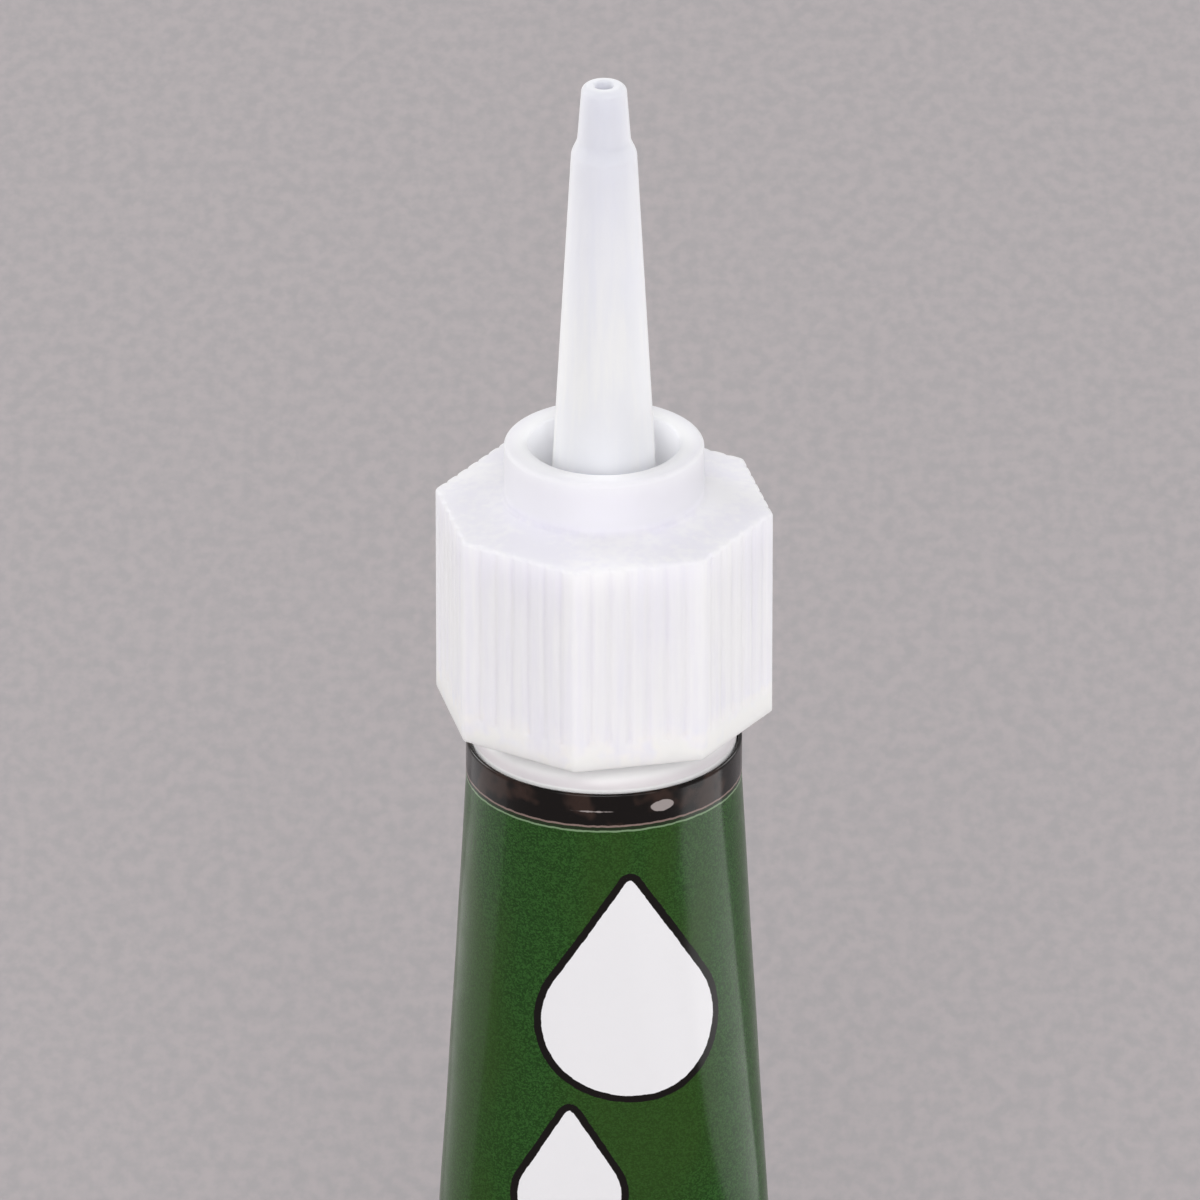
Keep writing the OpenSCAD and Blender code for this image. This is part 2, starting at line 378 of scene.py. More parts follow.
def fold_rings():
    """Rings of the tail: a jog to the front, down, round the foot, up the back and down between."""
    rings = []
    wide = half_width(FOLD_TOP)
    for share in even(0.0, 1.0, FOLD_STEP / JOG_H)[1:]:
        slope = LAYER_PITCH / JOG_H * 6 * share * (1 - share)
        half_w = wide + (FOLD_HALF_W - wide) * smooth(share)
        half_t = FLAT_HALF_T + (LAYER_HALF_T - FLAT_HALF_T) * smooth(share)
        lean = -math.degrees(math.atan(slope))
        y = -LAYER_PITCH * smooth(share)
        rings.append(layer_ring(y, FOLD_TOP - JOG_H * share, lean, half_w, half_t))
    foot = LAYER_PITCH + LAYER_HALF_T
    top = FLAP_TOP - LAYER_PITCH / 2 - LAYER_HALF_T
    for z in even(FOLD_TOP - JOG_H, foot, FOLD_STEP)[1:]:
        rings.append(layer_ring(-LAYER_PITCH, z, 0, FOLD_HALF_W, pressed(z)))
    for turn in even(0, 180, 180 / BEND_STEPS)[1:]:
        rings.append(bend_ring(0, foot, LAYER_PITCH, turn))
    for z in even(foot, top, FOLD_STEP)[1:]:
        rings.append(layer_ring(LAYER_PITCH, z, 180, FOLD_HALF_W, pressed(z)))
    for turn in even(180, 360, 180 / BEND_STEPS)[1:]:
        rings.append(bend_ring(LAYER_PITCH / 2, top, LAYER_PITCH / 2, turn))
    for z in even(top, foot, HIDDEN_FOLD_STEP)[1:]:
        rings.append(layer_ring(0, z, 360, FOLD_HALF_W, LAYER_HALF_T))
    return rings


def bend_ring(centre_y, centre_z, radius, turn):
    """Ring of the wall on its way round a fold."""
    lean = math.radians(turn)
    y = centre_y - radius * math.cos(lean)
    z = centre_z - radius * math.sin(lean)
    return layer_ring(y, z, turn, FOLD_HALF_W, LAYER_HALF_T)


def drop_distance(girth, height, drop):
    """Distance from the edge of a printed drop, below zero inside it."""
    centre, level, radius, point = drop
    x = abs(girth - centre)
    y = height - level
    lean = (radius - POINT_R) / point
    upright = math.sqrt(1 - lean * lean)
    along = upright * y - lean * x
    if along < 0:
        return math.hypot(x, y) - radius
    if along > upright * point:
        return math.hypot(x, y - point) - POINT_R
    return upright * x + lean * y - radius


def pale_spot_distance(girth, height):
    """Distance from the edge of the nearest pale spot, below zero inside it."""
    distances = []
    for centre, level, half_w, half_h in PALE_SPOTS:
        reach = math.hypot((girth - centre) / half_w, (height - level) / half_h)
        distances.append((reach - 1) * half_h)
    return min(distances)


def make_sleeve():
    """Whole sleeve, from the inside of its tail over the open end and down the outside to the fold."""
    lip = SLEEVE_WALL / 2
    inner = [inner_ring(z) for z in even(FOLD_TOP + lip, FLARE_TOP, INNER_STEP)]
    rolled = []
    for r, z in arc(SLEEVE_R - lip, SLEEVE_END - lip, lip, 180, 0, ROUND_STEPS):
        rolled.append([(x, y, z) for x, y, nx, ny in oval(r, r)])
    heights = even(SLEEVE_END - 2 * lip, BAND_LOW, BAND_STEP) + even(BAND_LOW, FOLD_TOP, BODY_STEP)[1:]
    outer = [body_ring(z) for z in heights]
    tail = fold_rings()
    piece = skin("sleeve", inner + rolled + outer + tail)
    print_edge = [NO_PRINT] * (len(inner + rolled) * RING_POINTS)
    pale_spot_edge = print_edge[:]
    for z in heights:
        for i in range(RING_POINTS):
            print_edge.append(min(drop_distance(girth_of(i), z, drop) for drop in DROPS))
            pale_spot_edge.append(pale_spot_distance(girth_of(i), z))
    for edge in (print_edge, pale_spot_edge):
        edge += [NO_PRINT] * (len(tail) * RING_POINTS)
    store(piece, "print_edge", print_edge)
    store(piece, "pale_spot_edge", pale_spot_edge)
    store(piece, "bare", bare_shares(len(inner), len(rolled), heights, len(tail)))
    return piece


def side_share(index):
    """How near a point of a ring lies to the sleeve's side edges, from 0 to 1."""
    off = abs(abs(index - RING_POINTS / 2) - RING_POINTS / 4)
    return smooth(1 - off / WEAR_POINTS)


def bare_shares(inner_count, lip_count, heights, tail_count):
    """How far the paint is gone: all inside, some on the tail's folds and side edges, none elsewhere."""
    shares = [1.0] * (inner_count * RING_POINTS) + [0.0] * (lip_count * RING_POINTS)
    for z in heights:
        wear = SIDE_WEAR * smooth((WEAR_TOP - z) / (WEAR_TOP - FOLD_TOP))
        shares += [wear * side_share(i) for i in range(RING_POINTS)]
    fold = [max(FOLD_WEAR, END_WEAR * side_share(i)) for i in range(RING_POINTS)]
    return shares + fold * tail_count


# Turned pieces

def lathe(name, outside, inside):
    """Turned piece from the outside and the inside of its outline, as (radius, height)."""
    rings = [ring_at(r, z, lathe_angles()) for r, z in outside + inside]
    piece = skin(name, rings, closed=True)
    store_inside(piece, len(outside), len(inside), LATHE_POINTS)
    return piece


def store_inside(piece, outer_count, inner_count, ring_points):
    """Marks the rings that line the inside of a piece, where its material paints light against the shade.
    """
    store(piece, "inside", [0.0] * (outer_count * ring_points) + [1.0] * (inner_count * ring_points))


def make_head():
    """Domed shoulder and threaded neck."""
    shoulder_top = SLEEVE_END + SHOULDER_H
    low = shoulder_top + THREAD_END + RIDGE_ROOT_W / 2
    high = NECK_TOP - THREAD_END - RIDGE_ROOT_W / 2
    turns = (high - low) / PITCH
    skirt_r = HEAD_R - HEAD_WALL
    dome = arc(0, 0, 1, 0, 90, DOME_STEPS)
    outside = [(skirt_r, FLARE_TOP), (HEAD_R, FLARE_TOP)]
    outside += [(NECK_R + (HEAD_R - NECK_R) * r, SLEEVE_END + SHOULDER_H * z) for r, z in dome[:-1]]
    neck = [(NECK_R, z) for z in even(shoulder_top, NECK_TOP - EDGE_R, THREAD_STEP)]
    inside = arc(NECK_R - EDGE_R, NECK_TOP - EDGE_R, EDGE_R, 0, 90)[1:]
    seat = NECK_TOP - FOIL_T
    inside += [(FOIL_SEAT_R, NECK_TOP), (FOIL_SEAT_R, seat), (NECK_BORE_R, seat)]
    hollow = SLEEVE_END - HEAD_WALL
    hollow_r = skirt_r - NECK_BORE_R
    inside += [(NECK_BORE_R + hollow_r * r, hollow + SHOULDER_H * z) for r, z in reversed(dome)]
    angles = lathe_angles()
    rings = [ring_at(r, z, angles) for r, z in outside]
    for r, z in neck:
        ring = []
        for a in angles:
            out = r + RIDGE_H * ridge_share(a, z, low, turns)
            ring.append((out * math.cos(a), out * math.sin(a), z))
        rings.append(ring)
    rings += [ring_at(r, z, angles) for r, z in inside]
    return skin("head", rings, closed=True)


def make_nozzle():
    """Cone with a stepped tip, a flange and a hollow spur."""
    flange = nozzle_low.z + SPUR_LEN
    flange_top = flange + FLANGE_T
    cone_top = flange_top + CONE_LEN
    tip = cone_top + FLARE_LEN
    profile = [(SPUR_R, nozzle_low.z), (SPUR_R, flange), (FLANGE_R - EDGE_R, flange)]
    profile += arc(FLANGE_R - EDGE_R, flange + EDGE_R, EDGE_R, -90, 0)[1:]
    profile += arc(FLANGE_R - EDGE_R, flange_top - EDGE_R, EDGE_R, 0, 90)
    profile += [(CONE_BASE_R, flange_top)]
    for share in even(0, 1, 1 / CONE_STEPS)[1:]:
        r = CONE_BASE_R + (CONE_TOP_R - CONE_BASE_R) * share
        profile.append((r, flange_top + CONE_LEN * share))
    for share in even(0, 1, 1 / FLARE_STEPS)[1:]:
        r = CONE_TOP_R + (TIP_BASE_R - CONE_TOP_R) * smooth(share)
        profile.append((r, cone_top + FLARE_LEN * share))
    profile += arc(TIP_R - TIP_ROUND, NOZZLE_TOP - TIP_ROUND, TIP_ROUND, 0, 90, ROUND_STEPS)
    profile += arc(ORIFICE_R + EDGE_R, NOZZLE_TOP - EDGE_R, EDGE_R, 90, 180)
    bore = [(ORIFICE_R, tip), (CONE_TOP_R - NOZZLE_WALL, cone_top)]
    bore += [(CONE_BASE_R - NOZZLE_WALL, flange_top), (SPUR_BORE_R, flange), (SPUR_BORE_R, nozzle_low.z)]
    return lathe("nozzle_skin", profile, bore)


# Collar

def collar_outline(inset, grooved):
    """Points round the eight sides, drawn in by an inset, with grooves at a share of their depth."""
    apothem = COLLAR_APOTHEM - inset
    corner_r = max(CORNER_R - inset, LEAST_CORNER_R)
    half_angle = math.radians(HALF_SIDE_ANGLE)
    corner_out = (apothem - corner_r) / math.cos(half_angle)
    half_side = corner_out * math.sin(half_angle)
    points = []
    for k in range(COLLAR_SIDES):
        facing = COLLAR_ANGLE + HALF_SIDE_ANGLE * (2 * k + 1)
        side = math.radians(facing)
        for along in even(-half_side, half_side, 2 * half_side / SIDE_STEPS)[:-1]:
            out = apothem - RIB_DEPTH * grooved * groove_share(along)
            x = out * math.cos(side) - along * math.sin(side)
            y = out * math.sin(side) + along * math.cos(side)
            points.append((x, y))
        corner = side + half_angle
        corner_x = corner_out * math.cos(corner)
        corner_y = corner_out * math.sin(corner)
        points += arc(corner_x, corner_y, corner_r, facing, facing + 2 * HALF_SIDE_ANGLE, CORNER_STEPS)
    return points


def groove_share(along):
    """Depth of the grooves along one side, as a share of their full depth."""
    middle = (RIB_COUNT - 1) / 2
    nearest = min(RIB_COUNT - 1, max(0, round(along / RIB_PITCH + middle)))
    off = abs(along - (nearest - middle) * RIB_PITCH) / (RIB_W / 2)
    return (1 + math.cos(math.pi * off)) / 2 if off < 1 else 0.0


def make_collar():
    """Grooved skirt, top, cap ring, ledge, threaded bore and the hollow round it, as one closed skin."""
    angles = [math.atan2(y, x) for x, y in collar_outline(0, 0)]
    recess = COLLAR_TOP - RECESS_D
    ledge = recess - LEDGE_T
    bore_wall_r = COLLAR_BORE_R + COLLAR_WALL
    low = SLEEVE_END + SHOULDER_H + THREAD_END + RIDGE_ROOT_W / 2 + PITCH / 2
    turns = (NECK_TOP - THREAD_END - RIDGE_ROOT_W / 2 - low) / PITCH
    rings = []
    for inset, z in arc(FOOT_EDGE_R, COLLAR_FOOT + FOOT_EDGE_R, FOOT_EDGE_R, 270, 180):
        rings.append([(x, y, z) for x, y in collar_outline(inset, 0)])
    for share in even(0, 1, 1 / RIB_END_STEPS):
        z = COLLAR_FOOT + RIB_FOOT + RIB_END * share
        rings.append([(x, y, z) for x, y in collar_outline(0, smooth(share))])
    for inset, z in arc(TOP_EDGE_R, COLLAR_TOP - TOP_EDGE_R, TOP_EDGE_R, 180, 90, LIP_STEPS):
        rings.append([(x, y, z) for x, y in collar_outline(inset, 1)])
    rings.append([(x, y, COLLAR_TOP) for x, y in collar_outline(TOP_EDGE_R + RIB_DEPTH, 0)])
    ring_foot = COLLAR_TOP + CROWN_H
    profile = arc(RING_R + RING_FOOT_R, ring_foot + RING_FOOT_R, RING_FOOT_R, 270, 180, FILLET_STEPS)
    profile += arc(RING_R - RING_LIP_R, RING_TOP - RING_LIP_R, RING_LIP_R, 0, 90, LIP_STEPS)
    rings += [ring_at(r, z, angles) for r, z in profile]
    outer_count = len(rings)
    profile = arc(RING_BORE_R + EDGE_R, RING_TOP - EDGE_R, EDGE_R, 90, 180)
    profile += arc(RING_BORE_R - EDGE_R, recess + EDGE_R, EDGE_R, 0, -90)
    profile += arc(LEDGE_R + EDGE_R, recess - EDGE_R, EDGE_R, 90, 180)
    profile += [(LEDGE_R, ledge), (COLLAR_BORE_R, ledge)]
    rings += [ring_at(r, z, angles) for r, z in profile]
    for z in even(ledge, COLLAR_FOOT, THREAD_STEP)[1:]:
        ring = []
        for a in angles:
            r = COLLAR_BORE_R - RIDGE_H * ridge_share(a, z, low, turns)
            ring.append((r * math.cos(a), r * math.sin(a), z))
        rings.append(ring)
    hollow_top = COLLAR_TOP - COLLAR_TOP_T
    rings += [ring_at(bore_wall_r, z, angles) for z in (COLLAR_FOOT, hollow_top)]
    for z in (hollow_top, COLLAR_FOOT):
        rings.append([(x, y, z) for x, y in collar_outline(COLLAR_WALL, 0)])
    piece = skin("collar_skin", rings, closed=True)
    store_inside(piece, outer_count, len(rings) - outer_count, len(angles))
    return piece


# Materials

# Most of a cloudy value lies between these
CLOUD_LOW = 0.3
CLOUD_HIGH = 0.7


class Surface:
    """One node material, built up by short calls."""

    def __init__(self, name, sockets):
        self.material = bpy.data.materials.new(name)
        self.material.use_nodes = True
        self.tree = self.material.node_tree
        self.shader = self.tree.nodes["Principled BSDF"]
        self.place = self.add("ShaderNodeTexCoord").outputs["Object"]
        for label, value in sockets.items():
            self.feed(self.shader.inputs[label], value)

    def feed(self, socket, value):
        """Links a socket to another one, or sets it to a plain value."""
        if isinstance(value, bpy.types.NodeSocket):
            self.tree.links.new(value, socket)
        else:
            socket.default_value = value

    def add(self, kind, inputs=None, **settings):
        """New node with its settings and inputs."""
        node = self.tree.nodes.new(kind)
        for label, value in settings.items():
            setattr(node, label, value)
        for label, value in (inputs or {}).items():
            self.feed(node.inputs[label], value)
        return node

    def set(self, label, value):
        """Gives the shader a value."""
        self.feed(self.shader.inputs[label], value)

    def height(self):
        """Height above the foot of the tail with the part at rest, in metres."""
        return self.add("ShaderNodeSeparateXYZ", {"Vector": self.place}).outputs["Z"]

    def attribute(self, label):
        """Number kept for each point of the piece."""
        return self.add("ShaderNodeAttribute", attribute_name=label).outputs["Fac"]

    def stretched(self, stretch):
        """Place on the surface, with features drawn out along an axis by the given factors."""
        scale = [1 / factor for factor in stretch]
        return self.add("ShaderNodeMapping", {"Vector": self.place, "Scale": scale}).outputs["Vector"]

    def clouds(self, size, detail=2.0, stretch=(1, 1, 1)):
        """Cloudy value with features of about that size."""
        inputs = {"Vector": self.stretched(stretch), "Scale": 1 / (size * MM), "Detail": detail}
        return self.add("ShaderNodeTexNoise", inputs).outputs["Fac"]

    def cells(self, size):
        """Random value for each cell of about that size."""
        inputs = {"Vector": self.place, "Scale": 1 / (size * MM)}
        colour = self.add("ShaderNodeTexVoronoi", inputs).outputs["Color"]
        return self.add("ShaderNodeSeparateColor", {"Color": colour}).outputs["Red"]

    def math(self, operation, *values):
        """Result of a sum on two or three values."""
        node = self.add("ShaderNodeMath", operation=operation)
        for socket, value in zip(node.inputs, values):
            self.feed(socket, value)
        return node.outputs[0]

    def spread(self, value, low, high, bottom=0.0, top=1.0):
        """Value between low and high, brought to the range from bottom to top with a smooth rise."""
        inputs = {"Value": value, "From Min": low, "From Max": high, "To Min": bottom, "To Max": top}
        return self.add("ShaderNodeMapRange", inputs, interpolation_type="SMOOTHSTEP").outputs["Result"]

    def drift(self, clouds, bottom=0.0, top=1.0):
        """Cloudy value brought to the range from bottom to top."""
        return self.spread(clouds, CLOUD_LOW, CLOUD_HIGH, bottom, top)

    def climb(self, level, rise):
        """Share that grows from 0 to 1 between two heights in millimetres."""
        low, high = rise
        return self.spread(level, low * MM, high * MM)

    def mix(self, share, first, second):
        """Mix of two colours."""
        node = self.add("ShaderNodeMix", data_type="RGBA")
        inputs = {socket.identifier: socket for socket in node.inputs}
        self.feed(inputs["Factor_Float"], share)
        self.feed(inputs["A_Color"], first)
        self.feed(inputs["B_Color"], second)
        return next(socket for socket in node.outputs if socket.identifier == "Result_Color")

    def bump(self, height, depth, strength):
        """Fine relief of a depth in millimetres."""
        inputs = {"Height": height, "Distance": depth * MM, "Strength": strength}
        self.set("Normal", self.add("ShaderNodeBump", inputs).outputs["Normal"])


def colour(red, green, blue):
    """Opaque colour in linear light."""
    return (red, green, blue, 1.0)


# Paint
GREEN_DARK = colour(0.008, 0.042, 0.003)
GREEN_LIGHT = colour(0.027, 0.1, 0.016)
# Painted reflection: olive zones on the green
GREEN_PAINTED_REFLECTION = colour(0.026, 0.062, 0.005)
# Tint of the pale spots painted on the band
PALE_SPOT_TINT = colour(0.34, 0.3, 0.29)
ALUMINIUM = colour(0.8, 0.8, 0.82)
FLAKE_SIZE = 0.065
FLAKE_DEPTH = 0.004
DARK_FLAKE_SHARE = 0.2
# Olive zones: painted reflections of brownish surroundings, drawn out upright
OLIVE_SIZE = 4.0
OLIVE_STRETCH = (1, 1, 3)
OLIVE_RANGE = (0.38, 0.66)
OLIVE_SHARE = 0.5
GLOSS_SIZE = 1.5
ENAMEL_ROUGHNESS = (0.26, 0.38)
RUB_SIZE = 0.6
BARE_RANGE = (0.95, 1.1)

# Print
PRINT_BLACK = colour(0.003, 0.0015, 0.001)
# Painted reflection: brown in the black band
BAND_PAINTED_REFLECTION = colour(0.03, 0.016, 0.012)
PRINT_WHITE = colour(0.87, 0.865, 0.885)
LINE_GREEN = colour(0.19, 0.29, 0.16)
LINE_DARK = colour(0.012, 0.025, 0.008)
LINE_PINK = colour(0.24, 0.17, 0.15)
PRINT_SOFT = 0.015
PRINT_WANDER = 0.02
WANDER_SIZE = 0.4
WANDER_RANGE = (0.2, 0.8)
# Blurred brown reflections painted into the black band
BAND_REFLECTION_SIZE = 1.6
BAND_REFLECTION_RANGE = (0.52, 0.66)
# Each tint starts at a height and runs up to the next, the last one to the band
STRIPES = (
    (BAND_LOW - 2 * LINE_W - LINE_GAP, LINE_GREEN),
    (BAND_LOW - LINE_W - LINE_GAP, LINE_DARK),
    (BAND_LOW - LINE_W, LINE_PINK),
)

# Natural polyethylene
NOZZLE_COOL = colour(0.845, 0.853, 0.963)
NOZZLE_WHITE = colour(0.912, 0.913, 0.98)
NOZZLE_CLEAR = colour(0.685, 0.692, 0.775)
NOZZLE_TINTS = (NOZZLE_COOL, NOZZLE_WHITE, NOZZLE_CLEAR)
NOZZLE_STREAK = 0.5
NOZZLE_SCATTER = 1.4
NOZZLE_SHEEN = 1.0
COLLAR_COOL = colour(0.855, 0.84, 0.92)
COLLAR_WHITE = colour(0.905, 0.892, 0.945)
COLLAR_CLEAR = colour(0.815, 0.805, 0.85)
COLLAR_TINTS = (COLLAR_COOL, COLLAR_WHITE, COLLAR_CLEAR)
COLLAR_STREAK = 0.4
COLLAR_SCATTER = 1.3
COLLAR_SHEEN = 0.1
# Painted light: a warm glow for the collar's foot, lit from below
FOOT_PAINTED_GLOW = colour(0.965, 0.92, 0.89)
# Painted light: near white on the inside faces, lifting the shade in the bore, recess and hollows
INSIDE_PAINTED_LIGHT = colour(0.99, 0.985, 0.995)
# Its flow lines, and its cool and white zones
STREAK_STRETCH = (1, 1, 14)
STREAK_SHARE = 0.5
ZONE_SIZE = 3.5
ZONE_STRETCH = (1, 1, 1.6)
WHITE_RANGE = (0.38, 0.62)
# Heights between which the plastic turns clearer upwards
NOZZLE_RISE = (NOZZLE_TOP - 14.0, NOZZLE_TOP + 2.0)
COLLAR_RISE = (COLLAR_TOP + 0.25, COLLAR_TOP + 1.0)
# Heights between which it turns from a painted warm glow at its foot, standing for light from below, to
# cool, along an uneven line
FOOT_GLOW_RISE = (COLLAR_FOOT, COLLAR_FOOT + 1.8)
FOOT_GLOW_PATCH = 1.5
FOOT_GLOW_RANGE = (0.4, 0.7)
FOOT_GLOW_WANDER = 0.6
FROST_SIZE = 0.3
FROST_ROUGHNESS = (0.45, 0.6)
FROST_GRAIN = 0.12
FROST_DEPTH = 0.01

# Head: a painted highlight along its rim and painted light on the upper dome, which lifts the shade under
# the collar's foot; tinted on the strip between
HEAD_PAINTED_LIGHT = colour(0.97, 0.97, 0.97)
HEAD_COOL = colour(0.74, 0.712, 0.732)
HEAD_WARM = colour(0.77, 0.738, 0.752)
RIM_HIGHLIGHT_RISE = (SLEEVE_END + 0.08, SLEEVE_END + 0.18)
ROOT_PAINTED_LIGHT_RISE = (SLEEVE_END + 0.3, SLEEVE_END + 0.75)
HEAD_SCATTER = 0.25
HEAD_PATCH = 3.0
HEAD_GLOSS_SIZE = 0.5
HEAD_ROUGHNESS = (0.3, 0.42)
HEAD_GRAIN = 0.15
HEAD_DEPTH = 0.003

# Foil, seal and gel
FOIL_DARK = colour(0.7, 0.7, 0.7)
FOIL_BRIGHT = colour(0.88, 0.88, 0.88)
FOIL_ROUGHNESS = (0.2, 0.4)
CREASE_SIZE = 0.4
CREASE_DEPTH = 0.05
LATEX_DARK = colour(0.6, 0.46, 0.26)
LATEX_PALE = colour(0.8, 0.68, 0.46)
LATEX_ROUGHNESS = (0.5, 0.7)
LATEX_SCATTER = 0.3
LATEX_PATCH = 0.8
LATEX_GRAIN = 0.2
LATEX_DEPTH = 0.02
GEL_STRAW = colour(0.9, 0.88, 0.78)
GEL_PALE = colour(0.95, 0.94, 0.88)
GEL_ROUGHNESS = (0.05, 0.12)
SWIRL_SIZE = 2.0
SWIRL_DEPTH = 0.05

# Floor
FLOOR_DARK = colour(0.436, 0.412, 0.423)
FLOOR_PALE = colour(0.494, 0.453, 0.463)
MOTTLE_SIZE = 0.75
MOTTLE_STRETCH = (1, 2, 1)


def sleeve_enamel():
    """Green flake enamel with a black band, thin lines and printed drops, worn to metal on the folds, with
    brown reflections painted into the band and olive ones onto the green.
    """
    surface = Surface("sleeve_enamel", {
        "Coat Weight": 0.4,
        "Coat Roughness": 0.14,
        "Specular IOR Level": 0.05,
    })
    flakes = surface.cells(FLAKE_SIZE)
    paint = surface.mix(surface.spread(flakes, DARK_FLAKE_SHARE, 1.0), GREEN_DARK, GREEN_LIGHT)
    # Painted reflection: olive zones over the green
    zones = surface.clouds(OLIVE_SIZE, stretch=OLIVE_STRETCH)
    paint = surface.mix(surface.spread(zones, *OLIVE_RANGE, 0.0, OLIVE_SHARE), paint, GREEN_PAINTED_REFLECTION)
    wander = surface.spread(surface.clouds(WANDER_SIZE), *WANDER_RANGE, -PRINT_WANDER, PRINT_WANDER)
    level = surface.math("MULTIPLY_ADD", wander, MM, surface.height())
    # Painted reflection: brown patches in the black band
    band_reflections = surface.spread(surface.clouds(BAND_REFLECTION_SIZE), *BAND_REFLECTION_RANGE)
    band = surface.mix(band_reflections, PRINT_BLACK, BAND_PAINTED_REFLECTION)
    for height, tint in STRIPES + ((BAND_LOW, band),):
        share = surface.climb(level, (height - PRINT_SOFT, height + PRINT_SOFT))
        paint = surface.mix(share, paint, tint)
    edge = surface.math("ADD", surface.attribute("print_edge"), wander)
    for reach, tint in ((OUTLINE_W, PRINT_BLACK), (0.0, PRINT_WHITE)):
        share = surface.spread(edge, reach + PRINT_SOFT, reach - PRINT_SOFT)
        paint = surface.mix(share, paint, tint)
    # Pale spots painted on the band
    spot_reach = surface.math("ADD", surface.attribute("pale_spot_edge"), wander)
    paint = surface.mix(surface.spread(spot_reach, PRINT_SOFT, -PRINT_SOFT), paint, PALE_SPOT_TINT)
    rubbed = surface.math("ADD", surface.attribute("bare"), surface.clouds(RUB_SIZE, detail=4.0))
    bare = surface.spread(rubbed, *BARE_RANGE)
    surface.set("Base Color", surface.mix(bare, paint, ALUMINIUM))
    surface.set("Metallic", bare)
    surface.set("Roughness", surface.drift(surface.clouds(GLOSS_SIZE, detail=3.0), *ENAMEL_ROUGHNESS))
    surface.bump(flakes, FLAKE_DEPTH, strength=0.25)
    return surface.material


def frosted(name, tints, rise, streak_size, scatter, sheen):
    """Natural polyethylene: milky, clearer upwards, with a painted warm glow at the foot for light from
    below, painted near-white light on its inside faces against their shade, and faint upright flow lines.
    """
    surface = Surface(name, {
        "IOR": 1.5,
        "Subsurface Weight": 1.0,
        "Subsurface Radius": (1.0, 1.0, 1.0),
        "Subsurface Scale": scatter * MM,
        "Specular IOR Level": 0.08,
        "Sheen Weight": sheen,
        "Sheen Roughness": 0.65,
    })
    cool, white, clear = tints
    streaks = surface.clouds(streak_size, detail=3.0, stretch=STREAK_STRETCH)
    zones = surface.clouds(ZONE_SIZE, detail=1.0, stretch=ZONE_STRETCH)
    zones = surface.math("MULTIPLY", zones, 1 - STREAK_SHARE)
    whiter = surface.math("MULTIPLY_ADD", streaks, STREAK_SHARE, zones)
    tint = surface.mix(surface.spread(whiter, *WHITE_RANGE), cool, white)
    tint = surface.mix(surface.climb(surface.height(), rise), tint, clear)
    # Painted light: the warm glow at the foot, with an uneven upper edge
    glow_wander = surface.spread(surface.clouds(FOOT_GLOW_PATCH), *FOOT_GLOW_RANGE, -FOOT_GLOW_WANDER * MM, FOOT_GLOW_WANDER * MM)
    level = surface.math("ADD", surface.height(), glow_wander)
    tint = surface.mix(surface.climb(level, FOOT_GLOW_RISE), FOOT_PAINTED_GLOW, tint)
    # Painted light: the inside faces are near white against their shade
    surface.set("Base Color", surface.mix(surface.attribute("inside"), tint, INSIDE_PAINTED_LIGHT))
    surface.set("Roughness", surface.drift(surface.clouds(FROST_SIZE, detail=3.0), *FROST_ROUGHNESS))
    surface.bump(surface.clouds(FROST_GRAIN), FROST_DEPTH, strength=0.2)
    return surface.material


def nozzle_plastic():
    """Frosted plastic with a soft sheen, clearer towards the tip."""
    return frosted("nozzle_plastic", NOZZLE_TINTS, NOZZLE_RISE, NOZZLE_STREAK, NOZZLE_SCATTER, NOZZLE_SHEEN)


def collar_plastic():
    """Frosted plastic with hardly any sheen, clearer in the cap ring."""
    return frosted("collar_plastic", COLLAR_TINTS, COLLAR_RISE, COLLAR_STREAK, COLLAR_SCATTER, COLLAR_SHEEN)


def head_plastic():
    """White moulded plastic with a faintly tinted strip above its rim; the rim is painted bright as a
    highlight and the upper dome as light under the collar's foot.
    """
    surface = Surface("head_plastic", {
        "IOR": 1.5,
        "Subsurface Weight": 1.0,
        "Subsurface Radius": (1.0, 1.0, 1.0),
        "Subsurface Scale": HEAD_SCATTER * MM,
    })
    tint = surface.mix(surface.drift(surface.clouds(HEAD_PATCH)), HEAD_COOL, HEAD_WARM)
    # Painted highlight: the rim below this rise is near white
    tint = surface.mix(surface.climb(surface.height(), RIM_HIGHLIGHT_RISE), HEAD_PAINTED_LIGHT, tint)
    # Painted light: near white from the upper dome upwards, against the shade under the collar's foot
    tint = surface.mix(surface.climb(surface.height(), ROOT_PAINTED_LIGHT_RISE), tint, HEAD_PAINTED_LIGHT)
    surface.set("Base Color", tint)
    surface.set("Roughness", surface.drift(surface.clouds(HEAD_GLOSS_SIZE), *HEAD_ROUGHNESS))
    surface.bump(surface.clouds(HEAD_GRAIN), HEAD_DEPTH, strength=0.2)
    return surface.material


def membrane_foil():
    """Bright foil with fine creases."""
    surface = Surface("membrane_foil", {"Metallic": 1.0})
    creases = surface.clouds(CREASE_SIZE, detail=4.0)
    surface.set("Base Color", surface.mix(creases, FOIL_DARK, FOIL_BRIGHT))
    surface.set("Roughness", surface.drift(creases, *FOIL_ROUGHNESS))
    surface.bump(creases, CREASE_DEPTH, strength=0.4)
    return surface.material


def seal_latex():
    """Dried sealing latex, tan and slightly mottled."""
    surface = Surface("seal_latex", {
        "Subsurface Weight": 0.1,
        "Subsurface Scale": LATEX_SCATTER * MM,
    })
    mottle = surface.clouds(LATEX_PATCH, detail=3.0)
    surface.set("Base Color", surface.mix(mottle, LATEX_DARK, LATEX_PALE))
    surface.set("Roughness", surface.drift(mottle, *LATEX_ROUGHNESS))
    surface.bump(surface.clouds(LATEX_GRAIN), LATEX_DEPTH, strength=0.3)
    return surface.material


